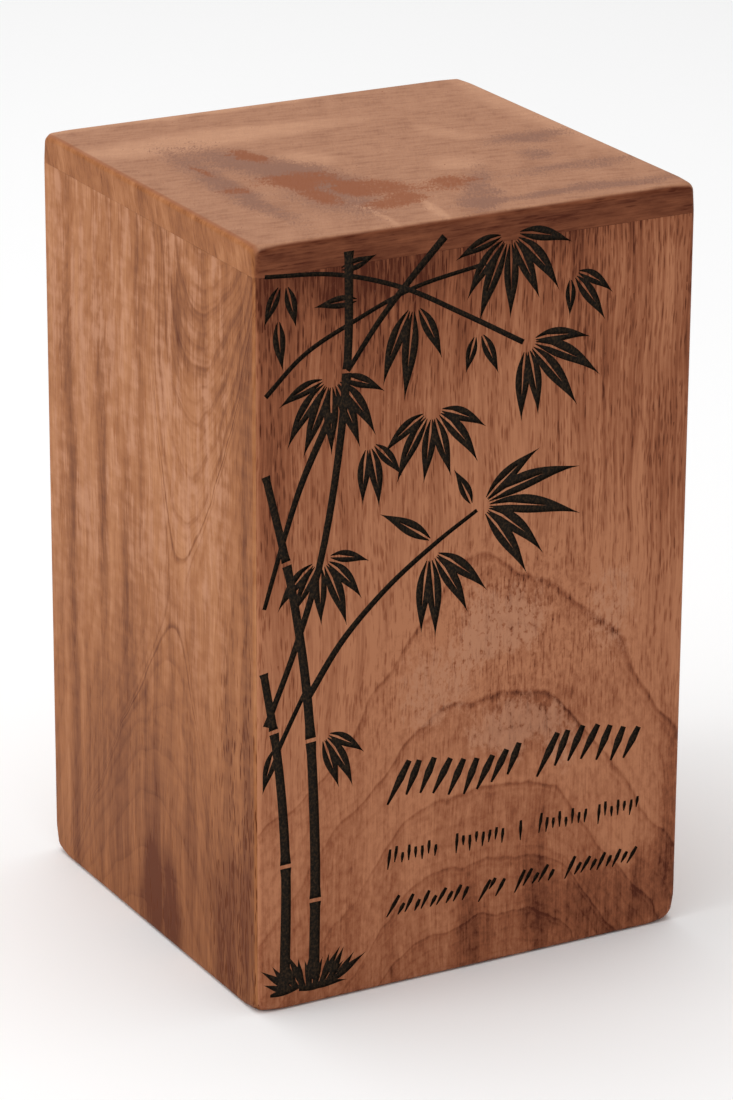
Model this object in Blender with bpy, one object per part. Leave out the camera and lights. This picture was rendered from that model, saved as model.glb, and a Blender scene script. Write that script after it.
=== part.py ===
"""A wooden cremation urn box: four mitred walls, an inset base and a lid that lifts off.

Lengths are in metres, with +Z up. The origin is the middle of the underside. The front, with a
bamboo picture and three rows of strokes cut into it, faces -Y.
"""

import math

import bmesh
import bpy
from mathutils import Vector

# The case: its outside, the boards that it is made of, and the gaps between them.
CASE_WIDTH = 0.148
CASE_DEPTH = 0.142
CASE_HEIGHT = 0.240
WALL = 0.0095
BASE_THICKNESS = 0.0095
LID_EDGE = 0.009
TONGUE_DEPTH = 0.005
TONGUE_CLEARANCE = 0.0005
JOINT_GAP = 0.0003

# The sanding. Edges are only just broken, and corners are rounder, most of all at the foot. The
# rounding of an edge grows into that of its corner over the corner's reach.
EDGE_ROUNDING = 0.0018
TOP_CORNER_ROUNDING = 0.003
FOOT_CORNER_ROUNDING = 0.0044
CORNER_REACH = 0.010
EDGE_STEPS = 2
CORNER_STEPS = 2
FLAT_ANGLE = 0.0001

# The engraving: how deep it is cut, and the sheet that it is drawn on. The sheet's units are
# millimetres at the case's present size. It is stretched to cover the whole front.
ENGRAVING_DEPTH = 0.0008
SHEET_WIDTH = 148
SHEET_HEIGHT = 240

# How far a cutter or an uncut board passes the surface that it meets.
OVERSHOOT = 0.003

# The bamboo's strokes, in sheet units and degrees. A heading of 0 points right, and 90 up.
# A leaf is as wide as its fatness times the square root of its length.
LEAF_FATNESS = 1.0
BLADE_FATNESS = 0.6
LEAF_STEPS = 6
LEAF_FOOT = 0.45
LEAVES_APART = 27
SLIT_END = 0.62
SPRAY_EYE = 3.2
NODE_GAP = 1.2
NODE_FLARE = 0.5
CANE_STEPS = 4
BRANCH_STEPS = 8
# centre line from the ground up, width below and above, heights of the nodes
CANES = (
    (((19.4, 8), (19.7, 50), (17.4, 96), (12.0, 134), (3.4, 171)), 3.7, 2.4, (34, 86, 143)),
    (((9.4, 8), (9.8, 46), (7.4, 80), (2.6, 110)), 3.6, 2.5, (47, 91)),
    (((3.4, 93), (13.4, 117), (21.4, 142), (27.0, 172), (30.2, 204), (30.4, 235)), 1.9, 2.9, (199,)),
)
# centre line, width at its start and at its end
BRANCHES = (
    (((17.4, 100), (29, 116), (44, 130), (60, 141), (74, 149)), 2.4, 1.3),
    (((6.8, 84), (11, 92), (16.4, 102)), 1.7, 1.5),
    (((30.2, 199), (40, 212), (50, 223), (62, 235)), 1.6, 2.5),
    (((25, 187), (15.6, 168), (9.4, 151), (2.8, 130)), 2.6, 1.4),
    (((3.2, 231), (26, 228.6), (48, 221.6), (68, 211), (89, 199)), 1.3, 1.7),
    (((3.4, 195), (16, 206), (32, 213.6), (52, 221), (76, 225)), 1.6, 1.3),
)
# where its leaves meet, heading of the middle leaf, angle from first leaf to last, leaf length
SPRAYS = (
    ((9.4, 230), -96, 40, 18),
    ((25.0, 198), -90, 150, 23),
    ((52.0, 217), -92, 66, 27),
    ((84.0, 233), -88, 162, 24),
    ((104.5, 219), -50, 66, 17),
    ((73.5, 206), -84, 40, 17),
    ((90.0, 199), -44, 110, 26),
    ((58.5, 183), -84, 144, 22),
    ((37.0, 177), -72, 60, 20),
    ((75.0, 150), -1, 98, 32),
    ((58.0, 139), -66, 76, 27),
    ((21.5, 143), -78, 144, 20),
    ((21.5, 88), -48, 50, 20),
)
# base, heading and length of the leaves that stand alone
LONE_LEAVES = (
    ((7.6, 217), -90, 15),
    ((58, 142.5), 142, 20),
    ((72, 151.5), 112, 13),
    ((6.8, 86), -114, 15),
    ((33, 220), 176, 14),
    ((28, 230), 8, 12),
)
GRASS_SPAN = (4.5, 32)
GRASS_BLADES = 17
GRASS_HEIGHT = 14
GRASS_GROUND = 6.0

# The rows of strokes: height of their middle, stroke length, width and heading, distance from
# one stroke to the next, and the first and last place in each group of strokes.
ROWS = (
    (65.5, 15.0, 2.7, 64, 5.0, ((48, 86), (100, 130))),
    (42.5, 6.6, 1.2, 86, 2.3, ((45, 62), (68.5, 85), (91, 92), (98, 114), (119, 132.5))),
    (25.5, 7.8, 1.5, 60, 2.8, ((46.5, 72), (78.5, 85), (91, 103), (109, 130.5))),
)


def wood(name, colour, roughness):
    """A plain oiled wood of one colour."""
    material = bpy.data.materials.new(name)
    material.use_nodes = True
    shader = material.node_tree.nodes["Principled BSDF"]
    shader.inputs["Base Color"].default_value = (*colour, 1)
    shader.inputs["Roughness"].default_value = roughness
    shader.inputs["Metallic"].default_value = 0.0
    return material


def new_object(name, mesh_maker, material=None):
    """A named object in the scene, with the mesh that is left in the maker's bmesh."""
    mesh = bpy.data.meshes.new(name)
    mesh_maker.to_mesh(mesh)
    mesh_maker.free()
    made = bpy.data.objects.new(name, mesh)
    bpy.context.scene.collection.objects.link(made)
    if material:
        mesh.materials.append(material)
    return made


def as_cutter(made):
    made.hide_render = True
    made.display_type = "WIRE"
    return made


def add_boolean(made, name, other, operation):
    modifier = made.modifiers.new(name, "BOOLEAN")
    modifier.operation = operation
    modifier.solver = "EXACT"
    modifier.object = other
    return modifier


def add_prism(maker, outline, sweep):
    """A closed prism on a flat outline, swept by a vector."""
    near = [maker.verts.new(point) for point in outline]
    far = [maker.verts.new(Vector(point) + sweep) for point in outline]
    faces = [maker.faces.new(near), maker.faces.new(reversed(far))]
    for i in range(len(near)):
        faces.append(maker.faces.new((near[i - 1], far[i - 1], far[i], near[i])))
    bmesh.ops.recalc_face_normals(maker, faces=faces)


def add_block(maker, low, high):
    """A closed box between two corners."""
    (x0, y0, z0), (x1, y1, z1) = low, high
    floor = [(x0, y0, z0), (x1, y0, z0), (x1, y1, z0), (x0, y1, z0)]
    add_prism(maker, floor, Vector((0, 0, z1 - z0)))


def sanded(point, low, high):
    """Where a point of the sharp block between two corners is once its edges are sanded round."""
    gaps = sorted(min(p - a, b - p) for p, a, b in zip(point, low, high))
    near = max(0.0, 1 - math.hypot(gaps[1], gaps[2]) / CORNER_REACH)
    at_foot = point.z < CASE_HEIGHT / 2
    corner_rounding = FOOT_CORNER_ROUNDING if at_foot else TOP_CORNER_ROUNDING
    radius = EDGE_ROUNDING + (corner_rounding - EDGE_ROUNDING) * near**2 * (3 - 2 * near)
    core = Vector([min(max(p, a + radius), b - radius) for p, a, b in zip(point, low, high)])
    return core + (point - core).normalized() * radius


def slices():
    """How far inside each face the block is sliced: closely at the edges, wider towards the flats."""
    turns = [math.pi / 4 * (1 - i / EDGE_STEPS) for i in range(1, EDGE_STEPS + 1)]
    shares = [(i / CORNER_STEPS) ** 1.5 for i in range(1, CORNER_STEPS + 1)]
    on_edge = [EDGE_ROUNDING * (1 - math.tan(turn)) for turn in turns]
    return on_edge + [EDGE_ROUNDING + (CORNER_REACH - EDGE_ROUNDING) * share for share in shares]


def case_form():
    """The outside of the closed case with its edges sanded round, which trims every board."""
    low = Vector((-CASE_WIDTH / 2, -CASE_DEPTH / 2, 0))
    high = Vector((CASE_WIDTH / 2, CASE_DEPTH / 2, CASE_HEIGHT))
    maker = bmesh.new()
    add_block(maker, low, high)
    for axis in range(3):
        normal = Vector([float(i == axis) for i in range(3)])
        for inward in slices():
            for place in (low + normal * inward, high - normal * inward):
                everything = [*maker.verts, *maker.edges, *maker.faces]
                bmesh.ops.bisect_plane(maker, geom=everything, plane_co=place, plane_no=normal)
    for vertex in maker.verts:
        vertex.co = sanded(vertex.co, low, high)
    bmesh.ops.dissolve_limit(maker, angle_limit=FLAT_ANGLE, verts=maker.verts, edges=maker.edges)
    bmesh.ops.triangulate(maker, faces=[face for face in maker.faces if len(face.verts) == 4])
    form = new_object("case_form", maker)
    form.data.shade_smooth()
    form.data.set_sharp_from_angle(angle=math.radians(35))
    return as_cutter(form)


def wall_board(name, length, distance, turn, material, form):
    """One wall, mitred at both ends. Its outer face is made facing -Y, then turned about Z."""
    top = CASE_HEIGHT - LID_EDGE - JOINT_GAP
    mitre_gap = JOINT_GAP / math.sqrt(2)
    outer = length / 2 - mitre_gap + OVERSHOOT
    inner = length / 2 - mitre_gap - WALL
    near, far = -distance - OVERSHOOT, -distance + WALL
    plan = [(-outer, near), (outer, near), (inner, far), (-inner, far)]
    cos, sin = math.cos(turn), math.sin(turn)
    outline = [(x * cos - y * sin, x * sin + y * cos, -OVERSHOOT) for x, y in plan]
    maker = bmesh.new()
    add_prism(maker, outline, Vector((0, 0, top + OVERSHOOT)))
    board = new_object(name, maker, material)
    add_boolean(board, "Sanded edges", form, "INTERSECT")
    return board


def base_board(material):
    """The bottom, set between the walls and flush with their feet."""
    x = CASE_WIDTH / 2 - WALL - JOINT_GAP
    y = CASE_DEPTH / 2 - WALL - JOINT_GAP
    maker = bmesh.new()
    add_block(maker, (-x, -y, 0), (x, y, BASE_THICKNESS))
    return new_object("base_board", maker, material)


def lid_board(material, form):
    """The lid: a board as large as the case, with a tongue below it that drops between the walls."""
    maker = bmesh.new()
    x, y = CASE_WIDTH / 2 + OVERSHOOT, CASE_DEPTH / 2 + OVERSHOOT
    underside = CASE_HEIGHT - LID_EDGE
    add_block(maker, (-x, -y, underside), (x, y, CASE_HEIGHT + OVERSHOOT))
    bottom = min(maker.faces, key=lambda face: face.calc_center_median().z)
    rebate = OVERSHOOT + WALL + TONGUE_CLEARANCE
    bmesh.ops.inset_region(maker, faces=[bottom], thickness=rebate, use_even_offset=True)
    grown = bmesh.ops.extrude_face_region(maker, geom=[bottom])["geom"]
    maker.faces.remove(bottom)
    tongue = [item for item in grown if isinstance(item, bmesh.types.BMVert)]
    bmesh.ops.translate(maker, verts=tongue, vec=(0, 0, -TONGUE_DEPTH))
    bmesh.ops.recalc_face_normals(maker, faces=maker.faces)
    lid = new_object("lid", maker, material)
    add_boolean(lid, "Sanded edges", form, "INTERSECT")
    return lid


def towards(heading, length):
    """The step of a length in a heading of degrees, on the sheet."""
    angle = math.radians(heading)
    return Vector((math.cos(angle), math.sin(angle))) * length


def leaf(base, heading, length, bend, fatness=LEAF_FATNESS, slit=True):
    """A leaf's outline. It widens from its foot, tapers to a point, and is split by a slit."""
    ahead, aside = towards(heading, length), towards(heading + 90, length)

    def off_midrib(share, distance):
        turn = math.degrees(math.atan(2 * bend * share))
        middle = Vector(base) + ahead * share + aside * bend * share**2
        return middle + towards(heading + 90 + turn, distance)

    def half_width(share):
        swell = math.sin(math.pi * share**0.75) ** 1.4
        return fatness * math.sqrt(length) / 2 * swell + LEAF_FOOT * (1 - share) ** 3

    shares = [i / LEAF_STEPS for i in range(LEAF_STEPS)]
    left = [off_midrib(share, half_width(share)) for share in shares]
    right = [off_midrib(share, -half_width(share)) for share in reversed(shares)]
    outline = [*left, off_midrib(1.0, 0.0), *right]
    if slit:
        for share, side in ((0.0, -0.5), (0.35, -0.8), (1.0, 0.0), (0.35, 0.8), (0.0, 0.5)):
            outline.append(off_midrib(share * SLIT_END, side * LEAF_FOOT))
    return outline


def spray(centre, heading, spread, length):
    """Leaves that fan out from one point. The middle ones are longest and the outer ones droop."""
    outlines = []
    gaps = max(1, round(spread / LEAVES_APART))
    for i in range(gaps + 1):
        share = i / gaps - 0.5
        turned = heading + share * spread + 3 * math.sin(2.6 * i + length)
        longer = 1 - 0.5 * abs(share) + 0.1 * math.sin(4.4 * i + length)
        base = Vector(centre) + towards(turned, SPRAY_EYE)
        droop = 0.06 * math.sin(3.7 * i + length) - 0.26 * math.cos(math.radians(turned))
        outlines.append(leaf(base, turned, length * longer, droop))
    return outlines


def along(points, share):
    """A point on the smooth line through the points, and the line's heading there."""
    place = min(share, 0.9999) * (len(points) - 1)
    i = int(place)
    t = place - i
    a, b = Vector(points[i]), Vector(points[i + 1])
    before = Vector(points[i - 1]) if i > 0 else 2 * a - b
    after = Vector(points[i + 2]) if i + 2 < len(points) else 2 * b - a
    leave, arrive = (b - before) / 2, (after - a) / 2
    point = (
        (2 * t**3 - 3 * t**2 + 1) * a + (t**3 - 2 * t**2 + t) * leave
        + (3 * t**2 - 2 * t**3) * b + (t**3 - t**2) * arrive
    )
    pace = (
        (6 * t**2 - 6 * t) * (a - b) + (3 * t**2 - 4 * t + 1) * leave + (3 * t**2 - 2 * t) * arrive
    )
    return point, math.degrees(math.atan2(pace.y, pace.x))


def stem(points, width_low, width_high, steps, start=0.0, end=1.0, flare=0.0):
    """The outline of a stem between two shares of its line, a little wider at its ends by flare."""
    left, right = [], []
    for i in range(steps + 1):
        share = start + (end - start) * i / steps
        point, heading = along(points, share)
        width = width_low + (width_high - width_low) * share
        if i in (0, steps):
            width += flare
        left.append(point + towards(heading + 90, width / 2))
        right.append(point + towards(heading - 90, width / 2))
    return [*left, *reversed(right)]


def share_at_height(points, height):
    """How far along a rising line it reaches a height."""
    low, high = 0.0, 1.0
    for _ in range(30):
        middle = (low + high) / 2
        if along(points, middle)[0].y < height:
            low = middle
        else:
            high = middle
    return low


def cane(points, width_low, width_high, nodes):
    """A cane's outlines, one for each stretch between two nodes, with a blank at each node."""
    cuts = [points[0][1] - NODE_GAP / 2, *nodes, points[-1][1] + NODE_GAP / 2]
    outlines = []
    for low, high in zip(cuts, cuts[1:]):
        start = share_at_height(points, low + NODE_GAP / 2)
        end = share_at_height(points, high - NODE_GAP / 2)
        outlines.append(stem(points, width_low, width_high, CANE_STEPS, start, end, NODE_FLARE))
    return outlines


def grass():
    """A tuft at the canes' feet: blades that lean out from its middle, over a patch of ground."""
    low, high = GRASS_SPAN
    middle = (low + high) / 2
    outlines = []
    for i in range(GRASS_BLADES):
        share = i / (GRASS_BLADES - 1)
        heading = 142 - 104 * share + 13 * (-1) ** i
        height = GRASS_HEIGHT * (0.62 + 0.38 * math.sin(2.4 * i) ** 2)
        base = (middle + (low - middle) * 0.6 * (1 - 2 * share), GRASS_GROUND)
        outlines.append(leaf(base, heading, height, 0.0, BLADE_FATNESS, slit=False))
    half = (high - low) / 2
    for start, heading, bend in ((low, 4, 0.05), (middle - 4, 0, 0.04), (middle - 1, 3, -0.06)):
        foot = (start, GRASS_GROUND - LEAF_FOOT)
        outlines.append(leaf(foot, heading, half, bend, BLADE_FATNESS, slit=False))
    return outlines


def brush_stroke(middle, heading, length, width):
    """A blunt stroke that thins towards its lower end and leans with its heading."""
    tip = Vector(middle) - towards(heading, length / 2)
    sides = ((0.0, 0.14), (0.6, 0.5), (1.0, 0.36))
    left = [tip + towards(heading, length * s) + towards(heading + 90, width * w) for s, w in sides]
    right = [tip + towards(heading, length * s) - towards(heading + 90, width * w) for s, w in sides]
    return [*left, *reversed(right)]


def stroke_row(height, length, width, heading, pitch, groups):
    """A row of separate strokes in groups. The first of a group is the longest."""
    outlines = []
    for start, end in groups:
        gaps = round((end - start) / pitch)
        for i in range(gaps + 1):
            x = start + i * pitch
            size = length * (1.0 if i == 0 else 0.5 + 0.3 * math.cos(0.6 * x) ** 2)
            lift = 0.12 * length * math.sin(1.1 * x)
            leaning = heading + 4 * math.sin(0.37 * x)
            outlines.append(brush_stroke((x, height + lift), leaning, size, width))
    return outlines


def engraving_cutter():
    """Every outline of the sheet as a prism through the front, from outside it to the cut's floor."""
    outlines = grass()
    for points, low, high, nodes in CANES:
        outlines += cane(points, low, high, nodes)
    for points, low, high in BRANCHES:
        outlines.append(stem(points, low, high, BRANCH_STEPS))
    for centre, heading, spread, length in SPRAYS:
        outlines += spray(centre, heading, spread, length)
    for base, heading, length in LONE_LEAVES:
        outlines.append(leaf(base, heading, length, 0.1))
    for row in ROWS:
        outlines += stroke_row(*row)
    across, up = CASE_WIDTH / SHEET_WIDTH, CASE_HEIGHT / SHEET_HEIGHT
    floor = ENGRAVING_DEPTH - CASE_DEPTH / 2
    maker = bmesh.new()
    for outline in outlines:
        placed = [(x * across - CASE_WIDTH / 2, floor, y * up) for x, y in outline]
        add_prism(maker, placed, Vector((0, -ENGRAVING_DEPTH - OVERSHOOT, 0)))
    return as_cutter(new_object("engraving_cutter", maker))


def main():
    for old in list(bpy.data.objects):
        bpy.data.objects.remove(old)
    front_wood = wood("front_wood", (0.32, 0.135, 0.066), 0.45)
    side_wood = wood("side_wood", (0.40, 0.18, 0.093), 0.45)
    lid_wood = wood("lid_wood", (0.43, 0.225, 0.14), 0.4)
    form = case_form()
    cutter = engraving_cutter()
    quarter = math.pi / 2
    front = wall_board("front_board", CASE_WIDTH, CASE_DEPTH / 2, 0, front_wood, form)
    wall_board("right_board", CASE_DEPTH, CASE_WIDTH / 2, quarter, side_wood, form)
    wall_board("back_board", CASE_WIDTH, CASE_DEPTH / 2, 2 * quarter, front_wood, form)
    wall_board("left_board", CASE_DEPTH, CASE_WIDTH / 2, 3 * quarter, side_wood, form)
    base_board(side_wood)
    lid = lid_board(lid_wood, form)
    for engraved in (front, lid):
        cut = add_boolean(engraved, "Engraving", cutter, "DIFFERENCE")
        cut.use_self = True


main()
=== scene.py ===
# %% [markdown]
# # A wooden urn box with a bamboo picture
#
# The real object is a small box of figured hardwood. Four mitred walls stand round an inset base,
# and a flat lid lifts off. A bamboo grove and three rows of strokes are burnt into its front.
#
# The box is already modelled as plain solids in a CAD source. This lesson loads that frame, dresses
# each solid as finished wood, and sets up the floor, the lights and the camera. Lengths are in
# metres, and +Z is up.

# %% Load the frame
import math

import bmesh
import bpy
from mathutils import Euler, Matrix, Vector


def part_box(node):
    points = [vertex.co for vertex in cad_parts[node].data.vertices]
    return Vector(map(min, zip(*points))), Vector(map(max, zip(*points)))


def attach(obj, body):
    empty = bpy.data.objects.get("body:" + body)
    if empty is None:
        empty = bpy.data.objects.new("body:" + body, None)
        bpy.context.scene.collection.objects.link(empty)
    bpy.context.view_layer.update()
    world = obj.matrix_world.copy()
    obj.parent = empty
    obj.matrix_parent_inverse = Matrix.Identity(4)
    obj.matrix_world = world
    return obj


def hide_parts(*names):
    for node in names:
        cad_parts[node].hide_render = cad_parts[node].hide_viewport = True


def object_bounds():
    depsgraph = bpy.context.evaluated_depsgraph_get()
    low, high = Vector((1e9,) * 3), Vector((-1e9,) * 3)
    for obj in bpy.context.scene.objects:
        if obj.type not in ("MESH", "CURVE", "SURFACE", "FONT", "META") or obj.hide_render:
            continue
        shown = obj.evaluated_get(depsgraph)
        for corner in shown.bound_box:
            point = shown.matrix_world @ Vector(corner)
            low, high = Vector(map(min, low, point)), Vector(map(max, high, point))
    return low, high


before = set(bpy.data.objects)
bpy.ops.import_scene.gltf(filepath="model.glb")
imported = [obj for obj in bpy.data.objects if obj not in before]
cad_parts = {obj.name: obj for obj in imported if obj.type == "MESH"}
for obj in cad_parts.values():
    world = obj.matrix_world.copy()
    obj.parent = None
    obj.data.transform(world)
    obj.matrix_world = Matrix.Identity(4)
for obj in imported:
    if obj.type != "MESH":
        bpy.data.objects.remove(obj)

MM = 1000
cad_low, cad_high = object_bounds()
print("CAD box, mm:", [round(side * MM, 1) for side in cad_high - cad_low])

# %% [markdown]
# ## Sizes come from the solids
#
# A finished board has to sit exactly where its solid sits, so its sizes are measured on the frame
# and not typed in again. The roundings can't be read from a box, so they are named here: the edges
# are only broken with sandpaper, and the corners are worn rounder, most of all at the foot.

# %% Measure the solids
front_low, front_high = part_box("front_board")
CASE_WIDTH, CASE_DEPTH, CASE_HEIGHT = cad_high - cad_low
WALL = front_high.y - front_low.y
TONGUE_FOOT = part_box("lid")[0].z
EDGE_ROUNDING = 0.0018
TOP_CORNER_ROUNDING = 0.003
FOOT_CORNER_ROUNDING = 0.0044
CORNER_REACH = 0.010
JOINT_GAP = 0.0003
SEAM = front_high.z + JOINT_GAP / 2
TONGUE_CLEARANCE = 0.0005
OVERSHOOT = 0.003
print("wall, mm:", round(WALL * MM, 2), "- lid seam at, mm:", round(SEAM * MM, 2))

# %% [markdown]
# ## The camera
#
# The photograph looks down on the near corner through a long lens, so upright edges stay almost
# parallel. A camera could be placed by eye, but four numbers describe this one better: how far it
# has walked round the box, how high it looks from, its distance and its focal length. It aims at
# a point inside the box, and leans a third of a degree, as a hand-held camera does.

# %% Place the camera
AIM = Vector((0.01884, 0.03110, 0.10005))
WALKED_ROUND, LOOKS_DOWN, LEANS = 28.82, 20.16, 0.317
DISTANCE, FOCAL_LENGTH = 1.504, 153.94
camera_data = bpy.data.cameras.new("studio_camera")
camera_data.lens = FOCAL_LENGTH
camera_data.sensor_width = 36.0
camera = bpy.data.objects.new("studio_camera", camera_data)
turned = Euler((math.radians(90 - LOOKS_DOWN), 0, math.radians(-WALKED_ROUND))).to_matrix()
turned = turned @ Matrix.Rotation(math.radians(LEANS), 3, "Z")
camera.matrix_world = Matrix.Translation(AIM + turned @ Vector((0, 0, DISTANCE))) @ turned.to_4x4()
bpy.context.scene.collection.objects.link(camera)
bpy.context.scene.camera = camera
print("camera at, m:", [round(value, 3) for value in camera.matrix_world.translation])

# %% [markdown]
# ## Helpers for meshes
#
# Every board begins as a prism: a flat outline that is swept along a straight line. `bmesh` builds
# it directly, which keeps the exact sizes. Cutters are made in the same way, so one helper serves
# both. `finished` freezes an object's modifiers into its mesh, so nothing is left to go wrong later.

# %% Prisms, objects and Booleans
def add_prism(maker, outline, sweep, slot=0):
    near = [maker.verts.new(point) for point in outline]
    far = [maker.verts.new(Vector(point) + sweep) for point in outline]
    faces = [maker.faces.new(near), maker.faces.new(reversed(far))]
    for i in range(len(near)):
        faces.append(maker.faces.new((near[i - 1], far[i - 1], far[i], near[i])))
    for face in faces:
        face.material_index = slot
    bmesh.ops.recalc_face_normals(maker, faces=faces)


def add_block(maker, low, high):
    (x0, y0, z0), (x1, y1, z1) = low, high
    add_prism(maker, [(x0, y0, z0), (x1, y0, z0), (x1, y1, z0), (x0, y1, z0)], Vector((0, 0, z1 - z0)))


def new_object(name, maker):
    mesh = bpy.data.meshes.new(name)
    maker.to_mesh(mesh)
    maker.free()
    made = bpy.data.objects.new(name, mesh)
    bpy.context.scene.collection.objects.link(made)
    return made


def add_boolean(made, other, operation, use_self=False):
    modifier = made.modifiers.new(operation.title(), "BOOLEAN")
    modifier.operation = operation
    modifier.solver = "EXACT"
    modifier.material_mode = "INDEX"
    modifier.use_self = use_self
    modifier.object = other


def finished(made):
    graph = bpy.context.evaluated_depsgraph_get()
    rough = made.data
    made.data = bpy.data.meshes.new_from_object(made.evaluated_get(graph))
    made.modifiers.clear()
    bpy.data.meshes.remove(rough)
    made.data.name = made.name
    return made


# %% [markdown]
# ## The sanded form
#
# All five outer boards are sanded together once the box is glued, so their rounded edges run on
# from one board to the next. The easy way to get that is to round one solid block, and to trim
# each board with it. The block is sliced into a grid that is fine near its edges. Each point is
# then pulled onto a ball that touches the faces, and the ball grows towards the corners.

# %% Round one block for all the boards
EDGE_STEPS = 4
CORNER_STEPS = 7
FLAT_ANGLE = 0.0001


def sanded(point, low, high):
    gaps = sorted(min(p - a, b - p) for p, a, b in zip(point, low, high))
    near = max(0.0, 1 - math.hypot(gaps[1], gaps[2]) / CORNER_REACH)
    at_foot = point.z < CASE_HEIGHT / 2
    corner_rounding = FOOT_CORNER_ROUNDING if at_foot else TOP_CORNER_ROUNDING
    radius = EDGE_ROUNDING + (corner_rounding - EDGE_ROUNDING) * near**2 * (3 - 2 * near)
    core = Vector([min(max(p, a + radius), b - radius) for p, a, b in zip(point, low, high)])
    return core + (point - core).normalized() * radius


def slices():
    turns = [math.pi / 4 * (1 - i / EDGE_STEPS) for i in range(1, EDGE_STEPS + 1)]
    shares = [(i / CORNER_STEPS) ** 1.5 for i in range(1, CORNER_STEPS + 1)]
    on_edge = [EDGE_ROUNDING * (1 - math.tan(turn)) for turn in turns]
    return on_edge + [EDGE_ROUNDING + (CORNER_REACH - EDGE_ROUNDING) * share for share in shares]


def sanded_form():
    low = Vector((-CASE_WIDTH / 2, -CASE_DEPTH / 2, 0))
    high = Vector((CASE_WIDTH / 2, CASE_DEPTH / 2, CASE_HEIGHT))
    maker = bmesh.new()
    add_block(maker, low, high)
    for axis in range(3):
        normal = Vector([float(i == axis) for i in range(3)])
        for inward in slices():
            for place in (low + normal * inward, high - normal * inward):
                everything = [*maker.verts, *maker.edges, *maker.faces]
                bmesh.ops.bisect_plane(maker, geom=everything, plane_co=place, plane_no=normal)
    for vertex in maker.verts:
        vertex.co = sanded(vertex.co, low, high)
    bmesh.ops.dissolve_limit(maker, angle_limit=FLAT_ANGLE, verts=maker.verts, edges=maker.edges)
    bmesh.ops.triangulate(maker, faces=[face for face in maker.faces if len(face.verts) == 4])
    return new_object("sanded_form", maker)


form = sanded_form()
print("sanded form:", len(form.data.polygons), "faces")

# %% [markdown]
# ## The four walls
#
# A mitred wall has a trapezoid plan: long outside, short inside, cut at 45 degrees at both ends.
# The joints of the real box are glued tight, so the finished boards nearly touch: a gap of a few
# hundredths of a millimetre keeps the meshes apart, and only the change of grain shows the joint.
# The lid just rests there, so a fine dark line stays under it.

# %% Cut the walls
MITRE_GAP = 0.00003
HAIRLINE = 0.00005


def wall(name, length, distance, turn):
    outer = length / 2 - MITRE_GAP + OVERSHOOT
    inner = length / 2 - MITRE_GAP - WALL
    near, far = -distance - OVERSHOOT, -distance + WALL
    plan = [(-outer, near), (outer, near), (inner, far), (-inner, far)]
    cos, sin = math.cos(turn), math.sin(turn)
    outline = [(x * cos - y * sin, x * sin + y * cos, -OVERSHOOT) for x, y in plan]
    maker = bmesh.new()
    add_prism(maker, outline, Vector((0, 0, SEAM - HAIRLINE / 2 + OVERSHOOT)))
    board = new_object(name, maker)
    add_boolean(board, form, "INTERSECT")
    return board


QUARTER = math.pi / 2
front_wall = wall("front_wall", CASE_WIDTH, CASE_DEPTH / 2, 0)
right_wall = wall("right_wall", CASE_DEPTH, CASE_WIDTH / 2, QUARTER)
back_wall = wall("back_wall", CASE_WIDTH, CASE_DEPTH / 2, 2 * QUARTER)
left_wall = wall("left_wall", CASE_DEPTH, CASE_WIDTH / 2, 3 * QUARTER)
print("walls as long as, mm:", round(CASE_WIDTH * MM, 1), "and", round(CASE_DEPTH * MM, 1))

# %% [markdown]
# ## The lid
#
# The lid is one flat board with a shallow tongue under it that drops between the walls and keeps
# it from sliding. It is a block whose underside is inset and pushed down, trimmed by the same
# form.

# %% Cut the lid
def lid():
    maker = bmesh.new()
    x, y = CASE_WIDTH / 2 + OVERSHOOT, CASE_DEPTH / 2 + OVERSHOOT
    underside = SEAM + HAIRLINE / 2
    add_block(maker, (-x, -y, underside), (x, y, CASE_HEIGHT + OVERSHOOT))
    bottom = min(maker.faces, key=lambda face: face.calc_center_median().z)
    rebate = OVERSHOOT + WALL + TONGUE_CLEARANCE
    bmesh.ops.inset_region(maker, faces=[bottom], thickness=rebate, use_even_offset=True)
    grown = bmesh.ops.extrude_face_region(maker, geom=[bottom])["geom"]
    maker.faces.remove(bottom)
    tongue = [item for item in grown if isinstance(item, bmesh.types.BMVert)]
    bmesh.ops.translate(maker, verts=tongue, vec=(0, 0, TONGUE_FOOT - underside))
    bmesh.ops.recalc_face_normals(maker, faces=maker.faces)
    board = new_object("lid_board", maker)
    add_boolean(board, form, "INTERSECT")
    return board


lid_board = lid()
print("tongue under the lid, mm:", round((SEAM - TONGUE_FOOT) * MM, 2))

# %% [markdown]
# ## The bamboo sheet
#
# The picture is drawn on a flat sheet that covers the whole front, one unit to the millimetre.
# Leaves, canes and branches aren't traced: each kind of mark is a function of a few values, and a
# short table says where each one grows. A leaf swells from its foot, tapers to a point and bends
# as it droops. A thin slit along its foot is left uncut and reads as the midrib.

# %% Leaves
LEAF_FATNESS = 1.0
BLADE_FATNESS = 0.6
LEAF_STEPS = 14
LEAF_FOOT = 0.45
SLIT_END = 0.62


def towards(heading, length):
    angle = math.radians(heading)
    return Vector((math.cos(angle), math.sin(angle))) * length


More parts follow.
